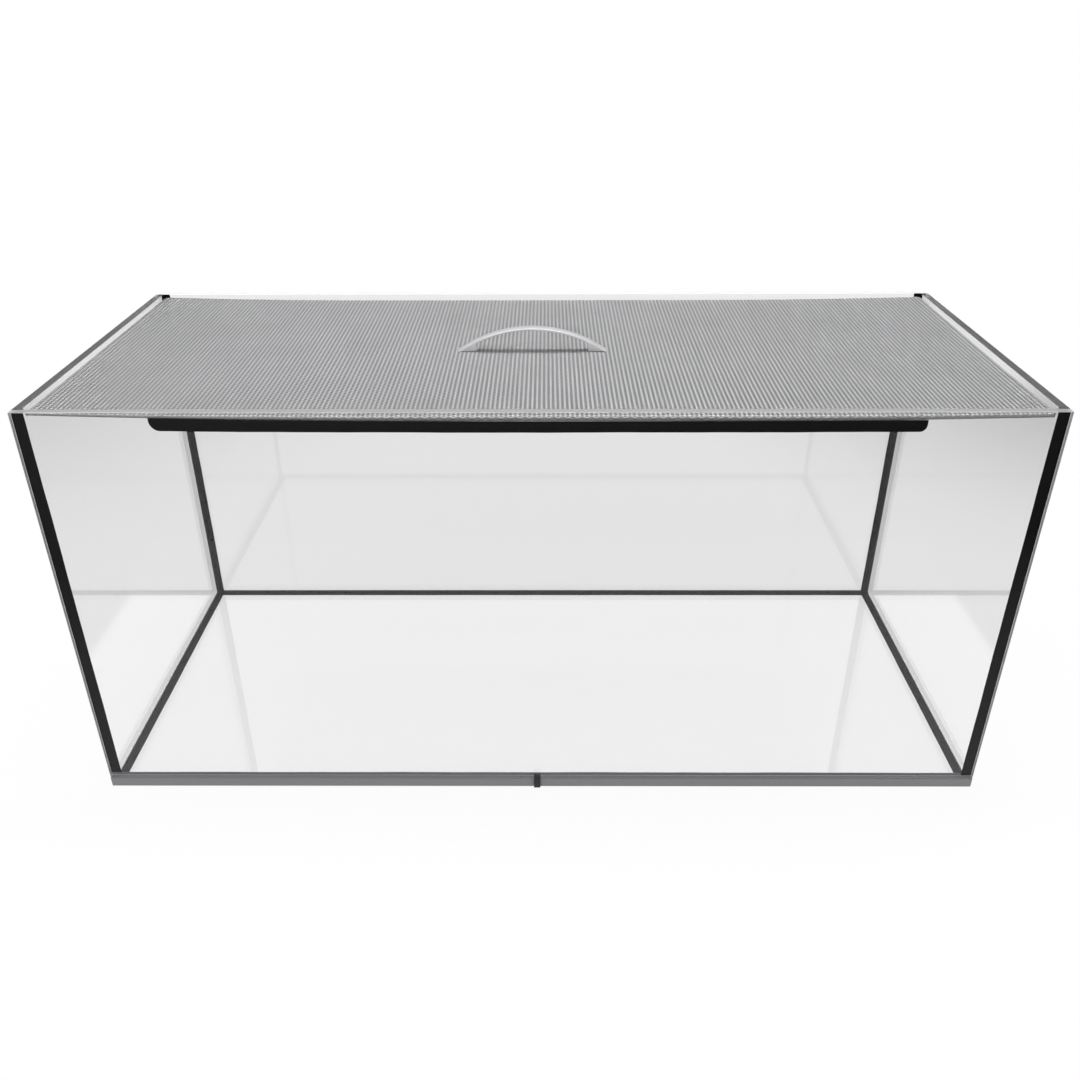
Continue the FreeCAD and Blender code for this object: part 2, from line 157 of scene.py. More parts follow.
@dataclass(frozen=True)
class FloatGlass:
    """Clear soda-lime float glass, cut and edge-ground.

    The fire-polished faces are mirror smooth. The cut edges are ground to a silky matt, which
    blurs what is seen through them, and the arris between a face and an edge is coarser.
    frost is the share of an edge that scatters light back as a white powdery surface does; it is
    set per wall as painted light, high for a brighter rim and low for a darker one. gloss is the
    shader's specular level, 0.5 for bare glass and less under a coating that cuts reflections.
    """

    name: str
    across: tuple[float, float, float]
    frost_and_painted_light: float = 0.3
    gloss: float = 0.5
    tint: str = "FCFCFC"
    ior: float = 1.52
    edge_roughness: float = 0.45
    arris_roughness: float = 0.6

    def steps(self, tree: bpy.types.NodeTree, along: Socket, tones: tuple[float, ...]) -> Socket:
        """Picks a number for edge, arris and face.

        Args:
            tree: The node tree.
            along: Share of the normal that lies through the pane, 0 to 1.
            tones: The numbers for edge, arris and face.

        Returns:
            A grey colour socket that holds the number.
        """
        ramp = add_node(tree, "ShaderNodeValToRGB", links={"Fac": along})
        ramp.color_ramp.interpolation = "CONSTANT"
        elements = ramp.color_ramp.elements
        middle = elements.new(0.3)
        for element, place, tone in zip((elements[0], middle, elements[-1]), (0.0, 0.3, 0.95), tones):
            element.position, element.color = place, (tone, tone, tone, 1.0)
        return ramp.outputs["Color"]

    def material(self) -> bpy.types.Material:
        """Builds the glass.

        across is the unit vector through the pane. The share of the surface normal along it
        tells face, edge and arris apart. Rays from lamps and from matt surfaces pass
        straight through, thinned by what the two faces mirror away, so what stands inside is
        lit as through a real pane.

        Returns:
            The material.
        """
        material, tree, output = new_material(self.name)
        geometry = add_node(tree, "ShaderNodeNewGeometry")
        along = add_node(
            tree, "ShaderNodeVectorMath", {"operation": "DOT_PRODUCT"},
            {1: self.across}, {0: geometry.outputs["True Normal"]},
        )
        size = add_node(
            tree, "ShaderNodeMath", {"operation": "ABSOLUTE"}, links={0: along.outputs["Value"]}
        )
        size = size.outputs[0]
        rough = self.steps(tree, size, (self.edge_roughness, self.arris_roughness, 0.0))
        clarity = self.steps(tree, size, (1 - self.frost_and_painted_light, 1 - self.frost_and_painted_light, 1.0))
        glass = add_node(
            tree, "ShaderNodeBsdfPrincipled",
            values={
                "Base Color": hex_linear(self.tint), "IOR": self.ior,
                "Specular IOR Level": self.gloss,
            },
            links={"Roughness": rough, "Transmission Weight": clarity},
        )
        clear = add_node(
            tree, "ShaderNodeBsdfTransparent", values={"Color": (0.955, 0.955, 0.955, 1.0)}
        )
        path = add_node(tree, "ShaderNodeLightPath")
        unseen = add_node(
            tree, "ShaderNodeMath", {"operation": "MAXIMUM"},
            links={0: path.outputs["Is Shadow Ray"], 1: path.outputs["Is Diffuse Ray"]},
        )
        surface = add_node(
            tree, "ShaderNodeMixShader",
            links={0: unseen.outputs[0], 1: glass.outputs[0], 2: clear.outputs[0]},
        )
        tree.links.new(surface.outputs[0], output.inputs["Surface"])
        return material


@dataclass(frozen=True)
class Silicone:
    """Neutral-cure silicone sealant, drawn with a wet tool.

    Tooling leaves it smooth, with low, slow ripples along the run. Most of it is bonded to a
    pane with no film of air between, so its gloss is kept low all over.
    """

    name: str
    colour: str
    roughness: float = 0.32
    gloss: float = 0.08
    ripple_mm: float = 6.0

    def material(self) -> bpy.types.Material:
        """Builds the silicone: a dielectric with a faint ripple and uneven gloss.

        Returns:
            The material.
        """
        material, tree, output = new_material(self.name)
        place = object_place(tree, (1.0, 1.0, 1.0))
        noise = add_node(
            tree, "ShaderNodeTexNoise",
            values={"Scale": 1 / (self.ripple_mm * MM), "Detail": 2.0, "Roughness": 0.4},
            links={"Vector": place},
        )
        gloss = add_node(
            tree, "ShaderNodeMapRange",
            values={"To Min": self.roughness - 0.06, "To Max": self.roughness + 0.1},
            links={"Value": noise.outputs["Fac"]},
        )
        bump = add_node(
            tree, "ShaderNodeBump", values={"Strength": 0.25, "Distance": 0.15 * MM},
            links={"Height": noise.outputs["Fac"]},
        )
        surface = add_node(
            tree, "ShaderNodeBsdfPrincipled",
            values={
                "Base Color": hex_linear(self.colour), "IOR": 1.41,
                "Specular IOR Level": self.gloss,
            },
            links={"Roughness": gloss.outputs["Result"], "Normal": bump.outputs["Normal"]},
        )
        tree.links.new(surface.outputs[0], output.inputs["Surface"])
        return material


@dataclass(frozen=True)
class ExtrudedPlastic:
    """Rigid PVC trim, extruded.

    The die leaves faint lines along the length, and the surface has the dull sheen of PVC.
    """

    name: str
    colour: str
    roughness: float = 0.5
    line_mm: float = 0.8

    def material(self) -> bpy.types.Material:
        """Builds the trim: die lines along X as bump and a slight change of tone.

        Returns:
            The material.
        """
        material, tree, output = new_material(self.name)
        place = object_place(tree, (0.02, 1.0, 1.0))
        lines = add_node(
            tree, "ShaderNodeTexNoise",
            values={"Scale": 1 / (self.line_mm * MM), "Detail": 3.0},
            links={"Vector": place},
        )
        base = hex_linear(self.colour)
        tone = add_node(
            tree, "ShaderNodeMix", {"data_type": "RGBA"},
            {6: tuple(c * 0.93 for c in base[:3]) + (1.0,), 7: tuple(c * 1.07 for c in base[:3]) + (1.0,)},
            {0: lines.outputs["Fac"]},
        )
        bump = add_node(
            tree, "ShaderNodeBump", values={"Strength": 0.3, "Distance": 0.05 * MM},
            links={"Height": lines.outputs["Fac"]},
        )
        surface = add_node(
            tree, "ShaderNodeBsdfPrincipled",
            values={"Roughness": self.roughness, "IOR": 1.53},
            links={"Base Color": tone.outputs[2], "Normal": bump.outputs["Normal"]},
        )
        tree.links.new(surface.outputs[0], output.inputs["Surface"])
        return material


@dataclass(frozen=True)
class MetalFinish:
    """A metal surface: its colour, its gloss, and the grain that its making left.

    grain_mm is the spacing of the grain, and stretch draws it out along an axis: a cast or
    blasted surface has equal factors, and a brushed one has a low factor along the brush.
    """

    name: str
    colour: str
    roughness: float
    grain_mm: float
    stretch: tuple[float, float, float] = (1.0, 1.0, 1.0)
    tone_swing: float = 0.06
    bump_mm: float = 0.01

    def material(self) -> bpy.types.Material:
        """Builds the metal: grain as roughness and bump, and a broad cloud of tone.

        Returns:
            The material.
        """
        material, tree, output = new_material(self.name)
        place = object_place(tree, self.stretch)
        grain = add_node(
            tree, "ShaderNodeTexNoise",
            values={"Scale": 1 / (self.grain_mm * MM), "Detail": 2.0},
            links={"Vector": place},
        )
        cloud = add_node(
            tree, "ShaderNodeTexNoise",
            values={"Scale": 1 / (60.0 * MM), "Detail": 2.0},
            links={"Vector": object_place(tree, (1.0, 1.0, 1.0))},
        )
        base = hex_linear(self.colour)
        low, high = 1 - self.tone_swing, 1 + self.tone_swing
        tone = add_node(
            tree, "ShaderNodeMix", {"data_type": "RGBA"},
            {6: tuple(c * low for c in base[:3]) + (1.0,), 7: tuple(min(1.0, c * high) for c in base[:3]) + (1.0,)},
            {0: cloud.outputs["Fac"]},
        )
        gloss = add_node(
            tree, "ShaderNodeMapRange",
            values={"To Min": self.roughness - 0.05, "To Max": self.roughness + 0.08},
            links={"Value": grain.outputs["Fac"]},
        )
        bump = add_node(
            tree, "ShaderNodeBump", values={"Strength": 0.4, "Distance": self.bump_mm * MM},
            links={"Height": grain.outputs["Fac"]},
        )
        surface = add_node(
            tree, "ShaderNodeBsdfPrincipled",
            values={"Metallic": 1.0},
            links={
                "Base Color": tone.outputs[2],
                "Roughness": gloss.outputs["Result"],
                "Normal": bump.outputs["Normal"],
            },
        )
        tree.links.new(surface.outputs[0], output.inputs["Surface"])
        return material


# Polished float glass, by the direction through the pane. The white that each wall's rim
# scatters is painted light: most on the back wall, least on the side walls.
GLASS_SIDE = FloatGlass("float_glass_side_walls", (1.0, 0.0, 0.0), frost_and_painted_light=0.06, gloss=0.12)
GLASS_FRONT = FloatGlass("float_glass_front_wall", (0.0, 1.0, 0.0), frost_and_painted_light=0.35)
GLASS_BACK = FloatGlass("float_glass_back_wall", (0.0, 1.0, 0.0), frost_and_painted_light=0.88)
GLASS_LEVEL = FloatGlass("float_glass_level_panes", (0.0, 0.0, 1.0), frost_and_painted_light=0.2, gloss=0.2)
# Sealants: a full black, and a mid grey along the front of the floor.
BLACK_SEALANT = Silicone("black_silicone_tooled", "0E0E0F")
GREY_SEALANT = Silicone("grey_silicone_tooled", "7B7A7D", roughness=0.4)
# Trim on the base pane's front edge.
GREY_TRIM = ExtrudedPlastic("grey_pvc_extruded", "868588")
BLACK_TRIM = ExtrudedPlastic("black_pvc_moulded", "1B1B1C", roughness=0.45)
# Expanded aluminium, left bare, with its strands burnished by stretching. The joints between
# them are painted darker, as painted shade of the hollows there, and the hanging edge darker still, as painted
# shade under the fold.
STRAND_METAL = MetalFinish("expanded_aluminium_burnished", "CFCFD0", 0.38, 0.9)
JOINT_METAL_PAINTED_SHADE = MetalFinish("expanded_aluminium_joint_painted_shade", "A5A5A6", 0.44, 0.9)
HEM_METAL_PAINTED_SHADE = MetalFinish("expanded_aluminium_hem_painted_shade", "888889", 0.5, 0.9)
# Satin aluminium: blasted, so highlights are broad and even.
HANDLE_METAL = MetalFinish("satin_aluminium_blasted", "F0F0F1", 0.62, 0.5, tone_swing=0.02)
# Zinc-plated steel: bright, with a faint bluish mirror.
SCREW_METAL = MetalFinish("zinc_plated_steel", "B9BBBE", 0.28, 0.6, tone_swing=0.04)


# Meshes


def make_mesh(
    name: str, points: np.ndarray, quads: np.ndarray, caps: list[np.ndarray] | None = None,
    smooth_angle: float | None = 35.0,
) -> bpy.types.Object:
    """Writes arrays into a mesh object that sits at the origin.

    Args:
        name: Object and mesh name.
        points: Corner places in millimetres, one row each.
        quads: Four corner numbers a row, seen anticlockwise from outside.
        caps: Further faces of any number of corners.
        smooth_angle: Edges flatter than this, in degrees, are shaded smooth.

    Returns:
        The object, linked to the scene.
    """
    caps = caps or []
    mesh = bpy.data.meshes.new(name)
    mesh.vertices.add(len(points))
    mesh.vertices.foreach_set("co", (points * MM).astype(np.float32).ravel())
    loops = np.concatenate([quads.ravel()] + caps).astype(np.int32)
    sizes = np.concatenate([np.full(len(quads), 4), np.array([len(c) for c in caps], int)])
    starts = np.concatenate([[0], np.cumsum(sizes)[:-1]]).astype(np.int32)
    mesh.loops.add(len(loops))
    mesh.loops.foreach_set("vertex_index", loops)
    mesh.polygons.add(len(sizes))
    mesh.polygons.foreach_set("loop_start", starts)
    mesh.update(calc_edges=True)
    mesh.validate()
    if smooth_angle is not None:
        mesh.shade_smooth()
        mesh.set_sharp_from_angle(angle=math.radians(smooth_angle))
    piece = bpy.data.objects.new(name, mesh)
    bpy.context.scene.collection.objects.link(piece)
    return piece


def run_quads(stations: int, around: int, offset: int = 0) -> np.ndarray:
    """Faces between successive closed rings of points.

    Args:
        stations: Number of rings.
        around: Points in a ring.
        offset: Number of the first point.

    Returns:
        One row of four corner numbers for each face.
    """
    ring = np.arange(around)
    step = np.arange(stations - 1)[:, None] * around
    here, there = step + ring, step + np.roll(ring, -1)
    faces = np.stack([here, there, there + around, here + around], axis=-1)
    return faces.reshape(-1, 4) + offset


def swept(name: str, rings: np.ndarray, flip: bool = False) -> bpy.types.Object:
    """A closed solid through rings of points, with its two ends capped.

    Args:
        name: The object's name.
        rings: Places as station, point round the ring, coordinate, in millimetres.
        flip: Turns every face over, for rings that run the other way round.

    Returns:
        The object.
    """
    stations, around = rings.shape[:2]
    quads = run_quads(stations, around)
    first = np.arange(around)[::-1]
    last = np.arange(around) + (stations - 1) * around
    if flip:
        quads, first, last = quads[:, ::-1], first[::-1], last[::-1]
    return make_mesh(name, rings.reshape(-1, 3), quads, [first, last])


def outward(name: str, rings: np.ndarray) -> bpy.types.Object:
    """Like swept, with the faces turned so that the enclosed volume is positive.

    Args:
        name: The object's name.
        rings: Places as station, point round the ring, coordinate.

    Returns:
        The object.
    """
    middle = rings.mean(axis=1)
    along = middle[-1] - middle[0]
    ring = rings[len(rings) // 2] - middle[len(rings) // 2]
    area = np.cross(ring, np.roll(ring, -1, axis=0)).sum(axis=0)
    return swept(name, rings, flip=bool(area @ along < 0))


def ripple(along: np.ndarray, seed: int, reach: float) -> np.ndarray:
    """A slow, uneven wander such as a hand-drawn bead has.

    It is a sum of three sines of unlike wavelengths, with phases set by the seed.

    Args:
        along: Distance along the run, in millimetres.
        seed: Which wander to give.
        reach: Its largest size, in millimetres.

    Returns:
        The wander at each distance.
    """
    phases = np.random.default_rng(seed).uniform(0, 2 * np.pi, 3)
    waves = [np.sin(2 * np.pi * along / w + p) for w, p in zip((43.0, 97.0, 211.0), phases)]
    return reach * (0.2 * waves[0] + 0.35 * waves[1] + 0.45 * waves[2])


def finish_piece(
    piece: bpy.types.Object, material: bpy.types.Material, rides: Rides, slot: str,
    *nodes: str,
) -> None:
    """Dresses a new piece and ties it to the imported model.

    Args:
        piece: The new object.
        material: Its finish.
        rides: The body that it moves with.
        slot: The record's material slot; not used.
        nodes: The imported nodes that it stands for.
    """
    piece.data.materials.append(material)
    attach(piece, rides.value)
    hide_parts(*nodes)
    LOG.info("%s: %d faces", piece.name, len(piece.data.polygons))


def dress_nodes(
    nodes: dict[str, bpy.types.Object], names: tuple[str, ...], material: bpy.types.Material
) -> None:
    """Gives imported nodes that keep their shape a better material.

    Args:
        nodes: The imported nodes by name.
        names: Which of them to dress.
        material: Their finish.
    """
    for name in names:
        mesh = nodes[name].data
        mesh.materials.clear()
        mesh.materials.append(material)
        LOG.info("%s: dressed in %s", name, material.name)


# The object


@dataclass
class TankSizes:
    """Sizes that the panes, the silicone, the braces and the lid share."""

    length: float = 900.0
    depth: float = 400.0
    height: float = 410.0
    wall: float = 8.0
    base: float = 10.0
    bond: float = 1.0

    @property
    def side_face(self) -> float:
        """Inner face of a short wall, from the middle."""
        return self.length / 2 - self.wall

    @property
    def long_face(self) -> float:
        """Inner face of a long wall, from the middle."""
        return self.depth / 2 - self.wall


@dataclass
class Panes:
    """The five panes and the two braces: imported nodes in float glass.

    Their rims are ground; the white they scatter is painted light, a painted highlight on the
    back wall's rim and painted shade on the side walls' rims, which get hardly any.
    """

    short_walls: tuple[str, ...] = ("left_pane", "right_pane")
    front_wall: tuple[str, ...] = ("front_pane",)
    back_wall: tuple[str, ...] = ("back_pane",)
    level: tuple[str, ...] = ("base_pane", "front_brace", "back_brace")

    def dress(self, nodes: dict[str, bpy.types.Object]) -> None:
        """Gives each pane the glass that faces its way."""
        dress_nodes(nodes, self.short_walls, GLASS_SIDE.material())
        dress_nodes(nodes, self.front_wall, GLASS_FRONT.material())
        dress_nodes(nodes, self.back_wall, GLASS_BACK.material())
        dress_nodes(nodes, self.level, GLASS_LEVEL.material())


@dataclass(frozen=True)
class Bead:
    """How far a seam reaches: foot along the wide pane, head up the wall that stands on it.

    recess is how far it stays back from the outer face, and hollow is the radius of its
    face by its chord.
    """

    foot: float
    head: float
    recess: float = 0.15
    hollow: float = 1.15


@dataclass
class Seams:
    """Silicone between the panes: four upright seams and four along the floor.

    A seam is a section carried along a straight run. Where it lies on glass it reaches into
    the pane by bite, so that no film of air shows between the two.
    """

    tank: TankSizes
    front_upright: Bead = Bead(3.0, 3.0)
    rear_upright: Bead = Bead(8.0, 0.4, 2.2, 3.0)
    front_floor: Bead = Bead(4.0, 4.0)
    back_floor: Bead = Bead(7.4, 1.0, 0.15, 3.0)
    side_floor: Bead = Bead(8.2, 0.5, 4.0, 3.0)
    bite: float = 0.04
    wander: float = 0.22
    step: float = 8.0
    arc_points: int = 9

    def hollow_arc(
        self, start: np.ndarray, end: np.ndarray, towards: np.ndarray, hollow: float
    ) -> np.ndarray:
        """The hollow face of a bead, from start to end at every station.

        Each point lies on the chord, pushed along the chord's normal by a parabola whose
        height is that of a circle with radius hollow times the chord.

        Args:
            start: One end, a row of two numbers for each station.
            end: The other end.
            towards: A point in the glass corner, which the face is hollowed towards.
            hollow: The circle's radius by the chord.

        Returns:
            Places as station, point, coordinate.
        """
        chord = end - start
        length = np.linalg.norm(chord, axis=-1, keepdims=True)
        normal = np.stack([-chord[..., 1], chord[..., 0]], axis=-1) / length
        side = np.sign(((towards - start) * normal).sum(axis=-1, keepdims=True))
        sag = length * (hollow - math.sqrt(hollow**2 - 0.25))
        t = np.linspace(0, 1, self.arc_points)[None, :, None]
        push = 4 * t * (1 - t) * (sag * side)[:, None]
        return start[:, None] + t * chord[:, None] + push * normal[:, None]

    def section(
        self, along: np.ndarray, seed: int, face: float, out: float, seat: float, bead: Bead,
        gap_low: float, gap_high: float,
    ) -> np.ndarray:
        """One seam's section at every station, in two coordinates.

        The first runs out from the tank's middle and the second across the gap, from the
        pane that the bead's long foot lies on. Both are measured from the corner of the tank
        that the seam belongs to.

        Args:
            along: Distances along the run.
            seed: Which wander to use.
            face: The wall's inner face.
            out: The wall's outer face.
            seat: The face that the bead lies on, where the gap starts.
            bead: How far the seam reaches.
            gap_low: The gap's first side.
            gap_high: Its other side; the bead's head reaches further.

        Returns:
            Places as station, point, coordinate.
        """
        grow = 1 if gap_high > gap_low else -1
        first = bead.foot + ripple(along, seed, self.wander)
        second = bead.head + ripple(along, seed + 1, self.wander)
        ones = np.ones_like(along)
        foot = np.stack([face - first, seat * ones], axis=-1)
        head = np.stack([face * ones, gap_high + grow * second], axis=-1)
        corner = np.array([face, seat])
        arc = self.hollow_arc(foot, head, corner, bead.hollow)

        def at(across: np.ndarray | float, over: np.ndarray | float) -> np.ndarray:
            return np.stack([across * ones, over * ones], axis=-1)[:, None]

        bite = self.bite
        return np.concatenate(
            [
                at(out - bead.recess, gap_low - grow * bite),
                at(face - first, gap_low - grow * bite),
                arc,
                at(face + bite, gap_high + grow * second),
                at(face + bite, gap_high + grow * bite),
                at(out - bead.recess, gap_high + grow * bite),
            ],
            axis=1,
        )

    def upright(self, side: Side, end: Side, foot: float) -> np.ndarray:
        """Rings of an upright corner seam from its foot to the rim.

        Args:
            side: Left or right wall.
            end: Front or back wall.
            foot: Height that it starts at.

        Returns:
            Rings in space.
        """
        tank = self.tank
        height = np.append(np.arange(foot, tank.height - 0.1, self.step), tank.height - 0.1)
        seed = 10 + 4 * (side.value + 1) + 2 * (end.value + 1)
        bead = self.front_upright if end is Side.LOW else self.rear_upright
        flat = self.section(
            height, seed, tank.side_face, tank.length / 2, tank.long_face, bead,
            tank.long_face, tank.long_face - tank.bond,
        )
        up = np.broadcast_to(height[:, None], flat.shape[:2])
        return np.stack([side.value * flat[..., 0], end.value * flat[..., 1], up], axis=-1)

    def floor(
        self, face: float, out: float, reach: float, seed: int, bead: Bead
    ) -> tuple[np.ndarray, np.ndarray]:
        """Sections of a floor seam and the distances that they stand at.

        Args:
            face: The wall's inner face, from the middle.
            out: Its outer face.
            reach: How far the run goes to each side of the middle.
            seed: Which wander to use.
            bead: How far the seam reaches.

        Returns:
            Sections, and distances along the run.
        """
        count = int(2 * reach / self.step) + 1
        along = np.linspace(-reach, reach, count)
        base = self.tank.base
        flat = self.section(
            along, seed, face, out, base, bead, base, base + self.tank.bond
        )
        return flat, along

    def build(self) -> None:
        """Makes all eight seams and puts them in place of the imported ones."""
        tank = self.tank
        black, grey = BLACK_SEALANT.material(), GREY_SEALANT.material()
        names = {Side.LOW: ("left", "front"), Side.HIGH: ("right", "back")}
        for side in Side:
            for end in Side:
                label = f"seam_{names[end][1]}_{names[side][0]}"
                # The grey bead was drawn first on the left, so the black one stands on it.
                on_grey = side is Side.LOW and end is Side.LOW
                foot = tank.base + (4.4 if on_grey else -self.bite)
                piece = outward(f"{label}_silicone", self.upright(side, end, foot))
                finish_piece(piece, black, Rides.TANK, "black_silicone", label)
        for end in Side:
            label = f"seam_base_{names[end][1]}"
            flat, along = self.floor(
                tank.long_face, tank.depth / 2, tank.length / 2, 40 + end.value,
                self.front_floor if end is Side.LOW else self.back_floor,
            )
            across = np.broadcast_to(along[:, None], flat.shape[:2])
            rings = np.stack([across, end.value * flat[..., 0], flat[..., 1]], axis=-1)
            front = end is Side.LOW
            piece = outward(f"{label}_silicone", rings)
            finish_piece(
                piece, grey if front else black, Rides.TANK,
                "grey_silicone" if front else "black_silicone", label,
            )
        for side in Side:
            label = f"seam_base_{names[side][0]}"
            reach = tank.long_face - 0.05
            flat, along = self.floor(
                tank.side_face, tank.length / 2, reach, 50 + side.value, self.side_floor
            )
            deep = np.broadcast_to(along[:, None], flat.shape[:2])
            rings = np.stack([side.value * flat[..., 0], deep, flat[..., 1]], axis=-1)
            piece = outward(f"{label}_silicone", rings)
            finish_piece(piece, black, Rides.TANK, "black_silicone", label)


@dataclass
class BraceBonds:
    """The black bar that holds each brace, seen through the wall it is glued to."""

    tank: TankSizes
    brace_length: float = 660.0
    brace_glass: float = 8.0
    drop: float = 10.5
    over: float = 2.5
    squeeze: float = 0.2
    under: float = 1.7
    corner_left: float = 9.0
    corner_right: float = 6.0
    rise_left: float = 3.3
    rise_right: float = 0.9
    shift: float = -1.5
    bite: float = 0.04
    step: float = 3.0

    def rings(self, end: Side, seed: int) -> np.ndarray:
        """Sections of the bar along X.

        The lower edge follows a quarter circle at each end and wanders a little between. The
        sealant squeezes out over the brace, more so towards the ends, where it rises as the
        square of the way from the middle. Under the brace it fillets out.

        Args:
            end: Front or back wall.
            seed: Which wander to use.

        Returns:
            Rings in space.
        """
        half = self.brace_length / 2 + self.over
        turn = np.linspace(0, np.pi / 2, 12)
        left, right = self.corner_left, self.corner_right
        middle = np.arange(left - half + self.step, half - right, self.step)
        along = np.concatenate(
            [-half + left * (1 - np.sin(turn[::-1])), middle, half - right * (1 - np.sin(turn))]
        )
        brace_top = self.tank.height - self.drop
        underside = brace_top - self.brace_glass
        share = np.abs(along) / half
        climb = np.where(along < 0, self.rise_left, self.rise_right) * share**2
        top = brace_top + self.squeeze + climb
        low = underside - self.under + ripple(along, seed, 0.18) + 0.5 * climb
        radius = np.where(along < 0, left, right)
        past = np.clip(np.abs(along) - (half - radius), 0, radius)
        low = low + radius - np.sqrt(radius**2 - past**2)
        low = np.minimum(low, top - 0.3)
        wall = self.tank.long_face + self.bite
        edge = self.tank.long_face - self.tank.bond - self.bite
        below = np.abs(along) < self.brace_length / 2 - 2
        spread = np.where(below, self.under + 0.2, 0.0)
        lip = np.minimum(underside, np.maximum(low, underside - 0.02))
        ones = np.ones_like(along)
        flat = [
            (wall * ones, top),
            (wall * ones, low),
            (edge * ones + 0.35, low),
            (edge * ones, low + 0.3),
            (edge - spread, np.where(below, lip, low + 0.3)),
            (edge - spread, np.where(below, lip + 0.05, low + 0.31)),
            (edge * ones, np.where(below, lip + 0.06, low + 0.32)),
            (edge * ones, top),
        ]
        points = [np.stack([along + self.shift, end.value * o, z], axis=-1) for o, z in flat]
        return np.stack(points, axis=1)

    def build(self) -> None:
        """Makes both bars."""
        black = BLACK_SEALANT.material()
        for end, label in ((Side.LOW, "front_brace_bond"), (Side.HIGH, "back_brace_bond")):
            piece = outward(f"{label}_silicone", self.rings(end, 70 + end.value))
            finish_piece(piece, black, Rides.TANK, "black_silicone", label)


@dataclass
class EdgeTrim:
    """Grey strip in two lengths on the base's front edge, and the cap on their joint."""

    strips: tuple[str, ...] = ("edge_strip_left", "edge_strip_right")
    cap: tuple[str, ...] = ("edge_strip_cap",)

    def dress(self, nodes: dict[str, bpy.types.Object]) -> None:
        """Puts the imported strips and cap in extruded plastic."""
        dress_nodes(nodes, self.strips, GREY_TRIM.material())
        dress_nodes(nodes, self.cap, BLACK_TRIM.material())


